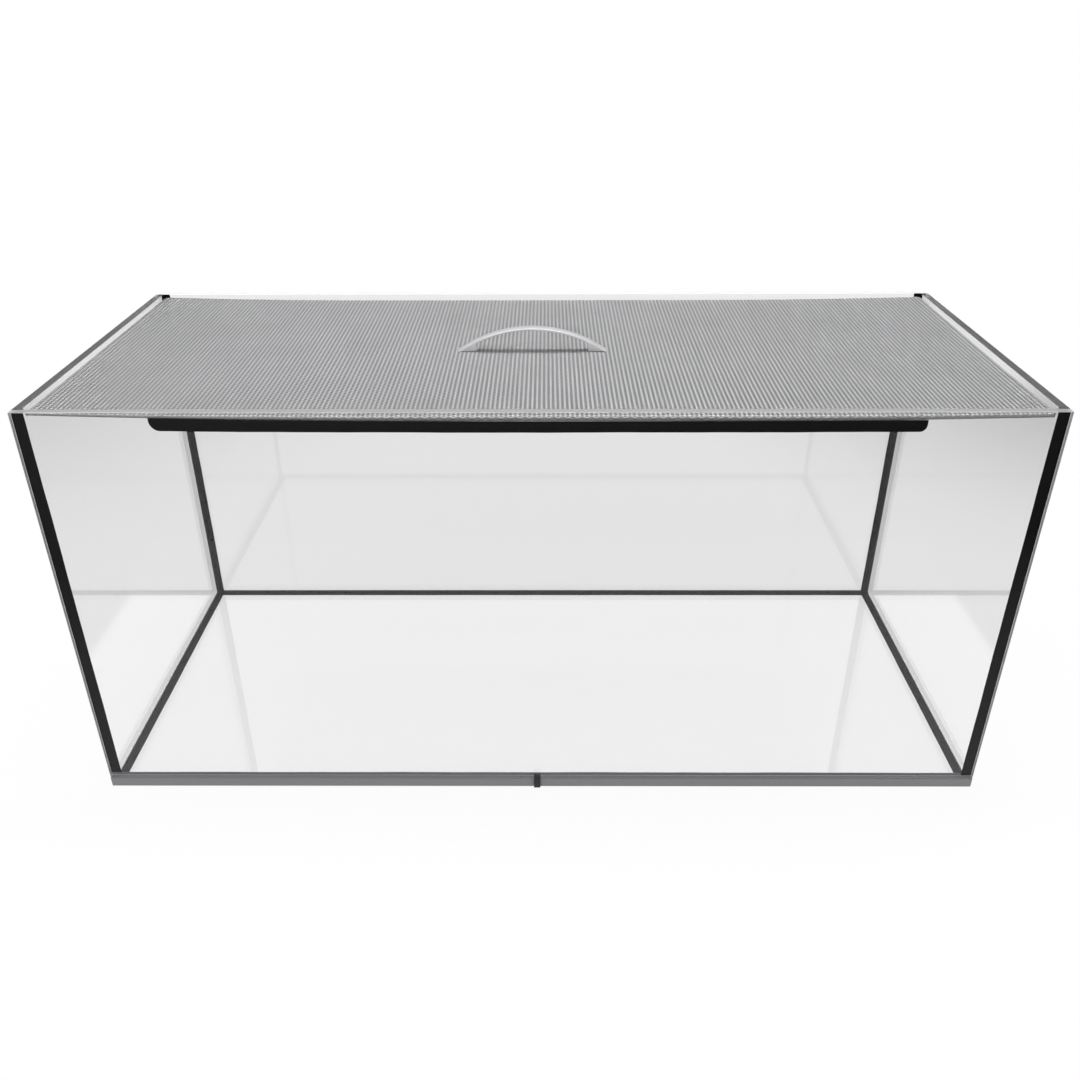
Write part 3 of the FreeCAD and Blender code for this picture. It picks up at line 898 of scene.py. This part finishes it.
@dataclass
class ExpandedLid:
    """The lid: one sheet of expanded aluminium with its four edges folded down.

    The sheet is slit and stretched, so it is a row of zigzag strands, each joined to the
    strand in front at every other turn and to the strand behind at the rest. A strand's
    section is a small slab that leans to the front, as stretching leaves it: a little at the
    joints, and more between them, where it is also narrower.
    """

    tank: TankSizes
    gap: float = 2.0
    drop: float = 6.0
    sheet: float = 1.0
    fold_height: float = 4.5
    cell: float = 8.148
    row: float = 2.0
    joint_width: float = 1.2
    strand_width: float = 1.1
    joint_thick: float = 0.9
    strand_thick: float = 0.35
    fold_width: float = 2.0
    hem_width: float = 1.4
    joint_lean: float = 0.0
    strand_lean: float = 36.0
    long_bend: float = 3.6
    side_bend: float = 1.4
    short_left: float = 0.92
    short_right: float = 0.41
    short_from_left: float = 120.0
    short_from_right: float = 280.0
    knuckle: float = 0.09
    twist: float = 0.135
    pieces: int = 8
    lift_left: float = 2.6
    lift_right: float = 1.7
    lift_rear_right: float = 1.3
    lift_from: float = 190.0

    @property
    def half_across(self) -> float:
        """Half the lid's size along X."""
        return self.tank.side_face - self.gap

    @property
    def half_deep(self) -> float:
        """Half the lid's size along Y."""
        return self.tank.long_face - self.gap

    def fold(
        self, s: np.ndarray, half: float, bend: float
    ) -> tuple[np.ndarray, np.ndarray, np.ndarray]:
        """Bends a line on the flat sheet down over the lid's edge.

        The line is straight as far as the bend, follows a quarter circle, and then hangs
        straight down.

        Args:
            s: Signed distance from the lid's middle, measured on the sheet.
            half: Half the folded lid's size along this line.
            bend: Outer radius of the bend.

        Returns:
            Signed distance after folding, fall below the sheet, and angle turned.
        """
        radius = bend - self.sheet / 2
        flat = half - bend
        past = np.clip(np.abs(s) - flat, 0, None)
        angle = np.clip(past / radius, 0, np.pi / 2)
        hang = np.clip(past - radius * np.pi / 2, 0, None)
        place = np.minimum(np.abs(s), flat) + radius * np.sin(angle)
        fall = radius * (1 - np.cos(angle)) + hang
        return np.sign(s) * place, fall, np.sign(s) * angle

    def reach(self, half: float, bend: float) -> float:
        """Half the sheet's size before folding, for half the folded lid's size."""
        radius = bend - self.sheet / 2
        hang = self.fold_height - self.sheet / 2 - radius
        return half - bend + radius * np.pi / 2 + hang

    def warp(self, across: np.ndarray, deep: np.ndarray) -> np.ndarray:
        """How far the thin sheet stands up towards its ends, past the braces' middle.

        It is nothing around the handle and grows as the square of the way past lift_from.

        Args:
            across: X of each point.
            deep: Y of each point.

        Returns:
            The rise at each point.
        """
        span = self.half_across - self.lift_from
        left = np.clip((-across - self.lift_from) / span, 0, None) ** 2
        right = np.clip((across - self.lift_from) / span, 0, None) ** 2
        rear = np.clip(deep / self.half_deep, 0, 1)
        return left * self.lift_left + right * (self.lift_right + rear * self.lift_rear_right)

    def strands(self, rows: np.ndarray) -> tuple[np.ndarray, np.ndarray, np.ndarray]:
        """All points and faces of some strands.

        Args:
            rows: Row numbers, counted from the lid's middle.

        Returns:
            Places in space, faces, and each face's finish: 0 strand, 1 joint in painted shade, 2 hem in darker
            painted shade.
        """
        reach_deep = self.reach(self.half_deep, self.long_bend)
        reach_across = self.reach(self.half_across, self.side_bend)
        cells = int(reach_across / self.cell) + 1
        turns = np.arange(-cells, cells + 1)[:, None] * self.cell
        # Along half a cell: the joint, the stretch on each side of it, both painted darker as shade of the hollows
        # there, and the twisted strand.
        k, q = self.knuckle, self.twist
        half = np.array([-q, -k, k, q])
        beats = np.concatenate([half, half + 0.5])
        slope = np.interp(np.abs(half), [k, 0.25], [1.0, 0.0])
        rise = np.concatenate([slope, -slope])
        between = np.tile([1.0, 0.0, 0.0, 1.0], 2)
        joint_shade_beats = np.tile([1, 1, 1, 0], 2)
        along = (turns + beats * self.cell).ravel()
        wave, free, joint_shade = (np.tile(a, len(turns)) for a in (rise, between, joint_shade_beats))
        keep = np.abs(along) <= reach_across
        along, wave, free, joint_shade = along[keep], wave[keep], free[keep], joint_shade[keep]
        half_w = (self.joint_width + (self.strand_width - self.joint_width) * free) / 2
        half_t = (self.joint_thick + (self.strand_thick - self.joint_thick) * free) / 2
        lean = np.radians(self.joint_lean + (self.strand_lean - self.joint_lean) * free)
        swing = (self.row - self.joint_width * math.cos(math.radians(self.joint_lean))) / 2
        centre = rows * self.row
        phase = np.where(rows % 2 == 0, 1.0, -1.0)
        deep = centre[:, None] + swing * wave * phase[:, None]
        flat_limit = self.half_deep - self.long_bend
        hangs = np.abs(centre) > flat_limit
        half_w = np.where(hangs[:, None], self.fold_width / 2, half_w)
        rim = self.hem_width / 2
        half_w = np.where(np.abs(centre)[:, None] > reach_deep - 1, rim, half_w)
        lean = np.where(hangs[:, None], 0.0, lean)
        # A strand in the front or back fold stops short of the corner, which is notched.
        limit = np.where(hangs, self.half_across - self.side_bend - 0.6, reach_across)
        u = np.clip(along, -limit[:, None], limit[:, None])
        x, fall_x, angle_x = self.fold(u, self.half_across, self.side_bend)
        deep = np.clip(deep, rim - reach_deep, reach_deep - rim)
        y, fall_y, angle_y = self.fold(deep, self.half_deep, self.long_bend)
        # The front and back folds die away towards the corners.
        start = np.where(x < 0, self.short_from_left, self.short_from_right)
        way = np.clip((np.abs(x) - start) / (self.half_across - start), 0, 1)
        fall_y = fall_y * (1 - way * np.where(x < 0, self.short_left, self.short_right))
        # Every section's highest corner lies level with the joints' top.
        sink = self.joint_thick / 2 - half_w * np.sin(lean) - half_t * np.cos(lean)
        corners = []
        for a, b in ((-1, -1), (1, -1), (1, 1), (-1, 1)):
            side = a * half_w * np.cos(lean) - b * half_t * np.sin(lean)
            up = a * half_w * np.sin(lean) + b * half_t * np.cos(lean) + sink
            # The section turns with each fold: up leans outwards, and side leans down.
            px = x + up * np.sin(angle_x)
            py = y + side * np.cos(angle_y) + up * np.sin(angle_y)
            pz = -fall_x - fall_y + up * np.cos(angle_x) * np.cos(angle_y) - side * np.sin(angle_y)
            corners.append(np.stack([px, py, pz], axis=-1))
        points = np.stack(corners, axis=2)
        level = self.tank.height - self.drop - self.sheet / 2
        points[..., 2] += level + self.warp(points[..., 0], points[..., 1])
        stations = points.shape[1]
        per_strand = stations * 4
        body = run_quads(stations, 4)[:, ::-1]
        ends = np.array([[0, 1, 2, 3], [3, 2, 1, 0]])
        ends[1] += per_strand - 4
        faces = np.concatenate([body, ends])
        # Faces round each joint take the darker material: painted shade of the hollows between strands.
        marks = np.concatenate([np.repeat(joint_shade[:-1], 4), [0, 0]])
        offsets = (np.arange(len(rows)) * per_strand)[:, None, None]
        # The lowest rows of the hanging edge take the darkest material: painted shade under the fold.
        shaded_hem = np.abs(centre) > self.half_deep - 0.5
        return (
            points.reshape(-1, 3),
            (faces[None] + offsets).reshape(-1, 4),
            np.where(shaded_hem[:, None], 2, marks).ravel(),
        )

    def build(self) -> None:
        """Makes the sheet in a few pieces, front to back."""
        finishes = [m.material() for m in (STRAND_METAL, JOINT_METAL_PAINTED_SHADE, HEM_METAL_PAINTED_SHADE)]
        last = int(self.reach(self.half_deep, self.long_bend) / self.row)
        rows = np.arange(-last, last + 1)
        for number, part in enumerate(np.array_split(rows, self.pieces), start=1):
            points, faces, marks = self.strands(part)
            piece = make_mesh(f"lid_expanded_metal_{number}", points, faces, smooth_angle=None)
            finish_piece(piece, finishes[0], Rides.LID, "expanded_aluminium", "lid_mesh")
            for finish in finishes[1:]:
                piece.data.materials.append(finish)
            piece.data.polygons.foreach_set("material_index", marks.astype(np.int32))


@dataclass
class BowHandle:
    """The lid's handle: a thin arch on two wedge feet, with softened edges."""

    tank: TankSizes
    drop: float = 6.0
    length: float = 148.0
    rise: float = 23.0
    strap: float = 2.0
    width: float = 12.0
    foot: float = 18.0
    foot_wall: float = 8.0
    softness: float = 0.8
    middle: tuple[float, float] = (-8.0, -6.0)
    stations: int = 121
    ring_points: int = 32

    def heights(self, x: np.ndarray, half: float, rise: float) -> np.ndarray:
        """Height of a circle's arc that spans two times half and rises by rise.

        Args:
            x: Distance from the arc's middle.
            half: Half its span.
            rise: Its height.

        Returns:
            Height above the chord.
        """
        radius = (half**2 + rise**2) / (2 * rise)
        return np.sqrt(np.clip(radius**2 - x**2, 0, None)) - (radius - rise)

    def rings(self) -> np.ndarray:
        """Sections of the handle along X.

        Each is a rounded rectangle between the underside and the outer arc. The underside
        is the foot's sole out to its inner face, and the inner arc between the feet.

        Returns:
            Rings in space.
        """
        half = self.length / 2
        inner = half - self.foot
        inner_rise = self.rise - self.strap - self.foot_wall
        foot_x = half - self.foot * (1 - np.cos(np.linspace(0, np.pi / 2, 24)))
        arch_x = np.linspace(inner, -inner, self.stations)
        x = np.concatenate([foot_x, arch_x, -foot_x[::-1]])
        sole = np.zeros(len(foot_x))
        arch = self.foot_wall + self.heights(arch_x, inner, inner_rise)
        under = np.concatenate([sole, arch, sole])
        over = np.maximum(self.heights(x, half, self.rise), 0.25)
        turn = np.linspace(0, 2 * np.pi, self.ring_points, endpoint=False)
        half_high = ((over - under) / 2)[:, None]
        half_wide = self.width / 2
        soft = np.minimum(self.softness, half_high * 0.9)
        cos, sin = np.cos(turn), np.sin(turn)
        y = np.sign(np.round(cos, 9)) * (half_wide - soft) + soft * cos
        z = np.sign(np.round(sin, 9)) * (half_high - soft) + soft * sin
        level = self.tank.height - self.drop
        centre = ((over + under) / 2)[:, None]
        return np.stack(
            [
                np.broadcast_to((x + self.middle[0])[:, None], y.shape),
                y + self.middle[1],
                z + centre + level,
            ],
            axis=-1,
        )

    def build(self) -> None:
        """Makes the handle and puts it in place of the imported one."""
        piece = outward("lid_bow_handle", self.rings())
        finish_piece(piece, HANDLE_METAL.material(), Rides.LID, "satin_aluminium", "lid_handle")


@dataclass
class Fasteners:
    """Screws and washers under the lid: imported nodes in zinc-plated steel."""

    names: tuple[str, ...] = ("handle_screws", "handle_washers")

    def dress(self, nodes: dict[str, bpy.types.Object]) -> None:
        """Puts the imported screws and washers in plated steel."""
        dress_nodes(nodes, self.names, SCREW_METAL.material())


# The studio


@dataclass
class Lamp:
    """A soft rectangular lamp that faces a target, by the light that reaches the target."""

    name: str
    place: tuple[float, float, float]
    target: tuple[float, float, float]
    size: tuple[float, float]
    level: float

    def build(self) -> None:
        """Makes the lamp.

        level is what a white card at the target, facing the lamp, would show of its light.
        """
        light = bpy.data.lights.new(self.name, "AREA")
        light.shape = "RECTANGLE"
        light.size, light.size_y = self.size
        way = Vector(self.target) - Vector(self.place)
        light.energy = self.level * math.pi * math.pi * way.length_squared
        lamp = bpy.data.objects.new(self.name, light)
        lamp.location = self.place
        lamp.rotation_euler = way.to_track_quat("-Z", "Y").to_euler()
        bpy.context.scene.collection.objects.link(lamp)


@dataclass
class Studio:
    """Camera, sweep, world and lamps.

    The camera's numbers come from a fit to the tank's corners.
    """

    focal: float = 1034.6
    frame: float = 1080.0
    centre_row: float = 619.0
    place: tuple[float, float, float] = (0.0061, -1.0345, 0.7168)
    pitch: float = 31.49
    yaw: float = 0.41
    roll: float = -0.20
    world_level: float = 0.58
    front_level: float = 0.48
    back_level: float = 0.12
    top_level: float = 0.72
    through_level: float = 0.8
    far_level: float = 0.92
    glow: float = 0.82
    open_glow: float = 0.9
    lamps: list[Lamp] = field(
        default_factory=lambda: [
            Lamp("overhead_softbox", (-0.05, 0.22, 2.5), (0.0, 0.0, 0.4), (3.2, 0.3), 0.8),
            Lamp("front_softbox", (-0.5, -2.4, 2.0), (0.0, 0.0, 0.2), (5.0, 2.6), 0.25),
        ]
    )

    def camera(self) -> None:
        """Makes the camera that took the photograph's view."""
        yaw, pitch, roll = (math.radians(a) for a in (self.yaw, self.pitch, self.roll))
        level = Vector((-math.sin(yaw), math.cos(yaw), 0))
        right = Vector((math.cos(yaw), math.sin(yaw), 0))
        forward = level * math.cos(pitch) - Vector((0, 0, math.sin(pitch)))
        up = level * math.sin(pitch) + Vector((0, 0, math.cos(pitch)))
        across = right * math.cos(roll) + up * math.sin(roll)
        upward = up * math.cos(roll) - right * math.sin(roll)
        data = bpy.data.cameras.new("photo_camera")
        data.sensor_width = 36.0
        data.lens = 36.0 * self.focal / self.frame
        data.shift_y = (self.centre_row - self.frame / 2) / self.frame
        data.clip_start, data.clip_end = 0.01, 50.0
        camera = bpy.data.objects.new("photo_camera", data)
        turn = Matrix((across, upward, -forward)).transposed()
        camera.matrix_world = Matrix.Translation(self.place) @ turn.to_4x4()
        bpy.context.scene.collection.objects.link(camera)
        bpy.context.scene.camera = camera

    def outside(
        self, tree: bpy.types.NodeTree, parts: Node, middle: float, half: tuple[float, float]
    ) -> Socket:
        """Distance outside an upright rectangle on the floor, by its farther axis.

        It is the larger of |x| - half[0] and |y - middle| - half[1], in metres.

        Args:
            tree: The node tree.
            parts: The node that gives X and Y.
            middle: The rectangle's middle on Y.
            half: Half its sizes on X and Y.

        Returns:
            A number socket, negative inside.
        """
        shifted = add_node(
            tree, "ShaderNodeMath", {"operation": "SUBTRACT"}, {1: middle}, {0: parts.outputs["Y"]}
        )
        past = []
        for source, reach in zip((parts.outputs["X"], shifted.outputs[0]), half):
            size = add_node(tree, "ShaderNodeMath", {"operation": "ABSOLUTE"}, links={0: source})
            past.append(
                add_node(
                    tree, "ShaderNodeMath", {"operation": "SUBTRACT"}, {1: reach},
                    {0: size.outputs[0]},
                ).outputs[0]
            )
        most = add_node(
            tree, "ShaderNodeMath", {"operation": "MAXIMUM"}, links={0: past[0], 1: past[1]}
        )
        return most.outputs[0]

    def mirrored_floor(self, tree: bpy.types.NodeTree, parts: Node) -> Socket:
        """How bright the floor is where a pane's outer face mirrors it.

        Past the lit part the floor is dark: it falls off within half a metre of the
        tank, and stays a little lighter to the left.

        Args:
            tree: The node tree.
            parts: The node that gives X and Y.

        Returns:
            A number socket.
        """
        away = add_node(
            tree, "ShaderNodeMapRange", values={"From Min": 0.0, "From Max": 0.6},
            links={"Value": self.outside(tree, parts, 0.0, (0.45, 0.2))},
        )
        ramp = add_node(tree, "ShaderNodeValToRGB", links={"Fac": away.outputs["Result"]})
        stops = ramp.color_ramp.elements
        tones = ((0.0, 1.0), (0.033, 0.5), (0.167, 0.42), (0.833, 0.12), (1.0, 0.0))
        middle = [stops.new(spot) for spot, _ in tones[1:-1]]
        for element, (spot, tone) in zip((stops[0], *middle, stops[len(stops) - 1]), tones):
            element.position, element.color = spot, (tone, tone, tone, 1.0)
        left = add_node(
            tree, "ShaderNodeMapRange",
            values={"From Min": -1.1, "From Max": 0.7, "To Min": 0.176, "To Max": 0.024},
            links={"Value": parts.outputs["X"]},
        )
        most = add_node(
            tree, "ShaderNodeMath", {"operation": "MAXIMUM"},
            links={0: ramp.outputs["Color"], 1: left.outputs["Result"]},
        )
        return most.outputs[0]

    def floor_through_glass(
        self, tree: bpy.types.NodeTree, place: Socket, parts: Node
    ) -> Socket:
        """How bright the floor is where a pane lies before it.

        The paper under the tank is white. Round it the floor is a light grey of painted shade. It
        darkens further towards two places behind the tank, the right one more, as painted shade of
        dim corners of the room, and is light again beyond.

        Args:
            tree: The node tree.
            place: Object coordinates.
            parts: The node that gives X and Y.

        Returns:
            A number socket.
        """
        level = add_node(tree, "ShaderNodeValue").outputs[0]
        level.default_value = self.through_level
        # Painted shade: two dim places behind the tank, seen through the panes.
        for side, dark in ((-1, 0.37), (1, 0.68)):
            away = add_node(
                tree, "ShaderNodeVectorMath", {"operation": "DISTANCE"},
                {1: (side * 1.25, 1.1, 0.0)}, {0: place},
            )
            dim = add_node(
                tree, "ShaderNodeMapRange", {"interpolation_type": "SMOOTHSTEP"},
                {"From Max": 1.05, "To Min": 1 - dark, "To Max": 1.0},
                {"Value": away.outputs["Value"]},
            )
            level = add_node(
                tree, "ShaderNodeMath", {"operation": "MULTIPLY"},
                links={0: level, 1: dim.outputs["Result"]},
            ).outputs[0]
        off = add_node(tree, "ShaderNodeVectorMath", {"operation": "LENGTH"}, links={0: place})
        far = add_node(
            tree, "ShaderNodeMapRange", {"interpolation_type": "SMOOTHSTEP"},
            {"From Min": 1.3, "From Max": 1.6}, {"Value": off.outputs["Value"]},
        )
        level = add_node(
            tree, "ShaderNodeMix", {"data_type": "FLOAT"}, {3: self.far_level},
            {0: far.outputs["Result"], 2: level},
        ).outputs[0]
        paper = add_node(
            tree, "ShaderNodeMapRange", {"interpolation_type": "SMOOTHSTEP"},
            {"From Min": -0.005, "From Max": 0.015, "To Min": 1.0, "To Max": 0.0},
            {"Value": self.outside(tree, parts, -0.275, (0.568, 0.475))},
        )
        return add_node(
            tree, "ShaderNodeMix", {"data_type": "FLOAT"}, {3: 1.0},
            {0: paper.outputs["Result"], 2: level},
        ).outputs[0]

    def sweep(self) -> None:
        """Makes the white paper sweep that the tank stands on.

        The camera sees it fade to pure white away from the tank. Panes show it greyer, both
        mirrored and through the glass, as if only the part round the tank were lit.
        """
        reach, level = 6000.0, -0.4
        points = np.array(
            [[-reach, -reach, level], [reach, -reach, level],
             [reach, reach, level], [-reach, reach, level]]
        )
        floor = make_mesh("sweep", points, np.array([[0, 1, 2, 3]]), smooth_angle=None)
        material, tree, output = new_material("white_paper_sweep")
        path = add_node(tree, "ShaderNodeLightPath")
        place = add_node(tree, "ShaderNodeTexCoord").outputs["Object"]
        parts = add_node(tree, "ShaderNodeSeparateXYZ", links={0: place})
        away = add_node(
            tree, "ShaderNodeVectorMath", {"operation": "LENGTH"}, links={0: place}
        )
        fade = add_node(
            tree, "ShaderNodeMapRange", {"interpolation_type": "SMOOTHSTEP"},
            {"From Min": 0.55, "From Max": 1.1, "To Min": self.open_glow, "To Max": 1.0},
            {"Value": away.outputs["Value"]},
        )
        camera, through = path.outputs["Is Camera Ray"], path.outputs["Is Transmission Ray"]
        # A ray through glass counts as glossy too, so what is left is mirrored only.
        mirror = add_node(
            tree, "ShaderNodeMath", {"operation": "SUBTRACT", "use_clamp": True},
            links={0: path.outputs["Is Glossy Ray"], 1: through},
        ).outputs[0]

        def chosen(seen: Socket, glass: Socket | float, mirrored: Socket | float) -> Socket:
            value = add_node(
                tree, "ShaderNodeMath", {"operation": "MULTIPLY"}, links={0: camera, 1: seen}
            ).outputs[0]
            for ray, tone in ((through, glass), (mirror, mirrored)):
                step = add_node(
                    tree, "ShaderNodeMath", {"operation": "MULTIPLY_ADD"},
                    links={0: ray, 2: value},
                )
                if isinstance(tone, float):
                    step.inputs[1].default_value = tone
                else:
                    tree.links.new(tone, step.inputs[1])
                value = step.outputs[0]
            return value

        strength = chosen(
            camera, self.floor_through_glass(tree, place, parts),
            self.mirrored_floor(tree, parts),
        )
        share = chosen(fade.outputs["Result"], self.glow, 1.0)
        paper = add_node(
            tree, "ShaderNodeBsdfDiffuse", values={"Color": hex_linear("FAFAFA")}
        )
        glow = add_node(tree, "ShaderNodeEmission", links={"Strength": strength})
        surface = add_node(
            tree, "ShaderNodeMixShader", links={0: share, 1: paper.outputs[0], 2: glow.outputs[0]}
        )
        tree.links.new(surface.outputs[0], output.inputs["Surface"])
        floor.data.materials.append(material)

    def world(self) -> None:
        """Makes the world: white where it is seen, and dimmer as a source of light.

        Mirrored, it is bright in front of the tank and overhead, dim behind
        it, and dark low down, the more so to the right.
        """
        world = bpy.data.worlds.new("studio_world")
        bpy.context.scene.world = world
        world.use_nodes = True
        tree = world.node_tree
        tree.nodes.clear()
        output = tree.nodes.new("ShaderNodeOutputWorld")
        path = add_node(tree, "ShaderNodeLightPath")
        place = add_node(tree, "ShaderNodeTexCoord")
        parts = add_node(
            tree, "ShaderNodeSeparateXYZ", links={0: place.outputs["Generated"]}
        )
        low = add_node(
            tree, "ShaderNodeMapRange",
            values={"From Min": -0.5, "From Max": 0.3, "To Min": 0.176, "To Max": 0.024},
            links={"Value": parts.outputs["X"]},
        )
        walls = add_node(
            tree, "ShaderNodeMapRange",
            values={
                "From Min": -0.2, "From Max": 0.2,
                "To Min": self.front_level, "To Max": self.back_level,
            },
            links={"Value": parts.outputs["Y"]},
        )
        risen = add_node(
            tree, "ShaderNodeMapRange", values={"From Min": -0.1, "From Max": 0.05},
            links={"Value": parts.outputs["Z"]},
        )
        walls = add_node(
            tree, "ShaderNodeMath", {"operation": "MULTIPLY"},
            links={0: walls.outputs["Result"], 1: risen.outputs["Result"]},
        )
        above = add_node(
            tree, "ShaderNodeMapRange",
            values={"From Min": 0.6, "From Max": 0.95, "To Min": 0.0, "To Max": self.top_level},
            links={"Value": parts.outputs["Z"]},
        )
        mirrored = add_node(
            tree, "ShaderNodeMath", {"operation": "MAXIMUM"},
            links={0: walls.outputs[0], 1: above.outputs["Result"]},
        )
        mirrored = add_node(
            tree, "ShaderNodeMath", {"operation": "MAXIMUM"},
            links={0: mirrored.outputs[0], 1: low.outputs["Result"]},
        )
        # Each kind of ray takes the place of the one before where it applies.
        kinds = (
            (path.outputs["Is Glossy Ray"], mirrored.outputs[0]),
            (path.outputs["Is Transmission Ray"], self.far_level),
            (path.outputs["Is Camera Ray"], 1.0),
        )
        strength: Socket | float = self.world_level
        for ray, tone in kinds:
            mix = add_node(tree, "ShaderNodeMix", {"data_type": "FLOAT"}, links={0: ray})
            for slot, source in ((2, strength), (3, tone)):
                if isinstance(source, float):
                    mix.inputs[slot].default_value = source
                else:
                    tree.links.new(source, mix.inputs[slot])
            strength = mix.outputs[0]
        light = add_node(
            tree, "ShaderNodeBackground", values={"Color": (1.0, 1.0, 1.0, 1.0)},
            links={"Strength": strength},
        )
        tree.links.new(light.outputs[0], output.inputs["Surface"])

    def build(self) -> None:
        """Makes everything that isn't the object."""
        scene = bpy.context.scene
        scene.view_settings.view_transform = "Standard"
        # Enough bounces to look through front wall, base and back wall.
        scene.cycles.max_bounces = 24
        scene.cycles.transmission_bounces = 24
        scene.cycles.transparent_max_bounces = 24
        self.camera()
        self.sweep()
        self.world()
        for lamp in self.lamps:
            lamp.build()


def main() -> None:
    """Builds the studio and the object."""
    logging.basicConfig(level=logging.INFO, format="%(message)s")
    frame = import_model()
    nodes = frame["nodes"]
    Studio().build()
    tank = TankSizes()
    Panes().dress(nodes)
    Seams(tank).build()
    BraceBonds(tank).build()
    EdgeTrim().dress(nodes)
    ExpandedLid(tank).build()
    BowHandle(tank).build()
    Fasteners().dress(nodes)
    bpy.context.view_layer.update()


if __name__ == "__main__":
    main()
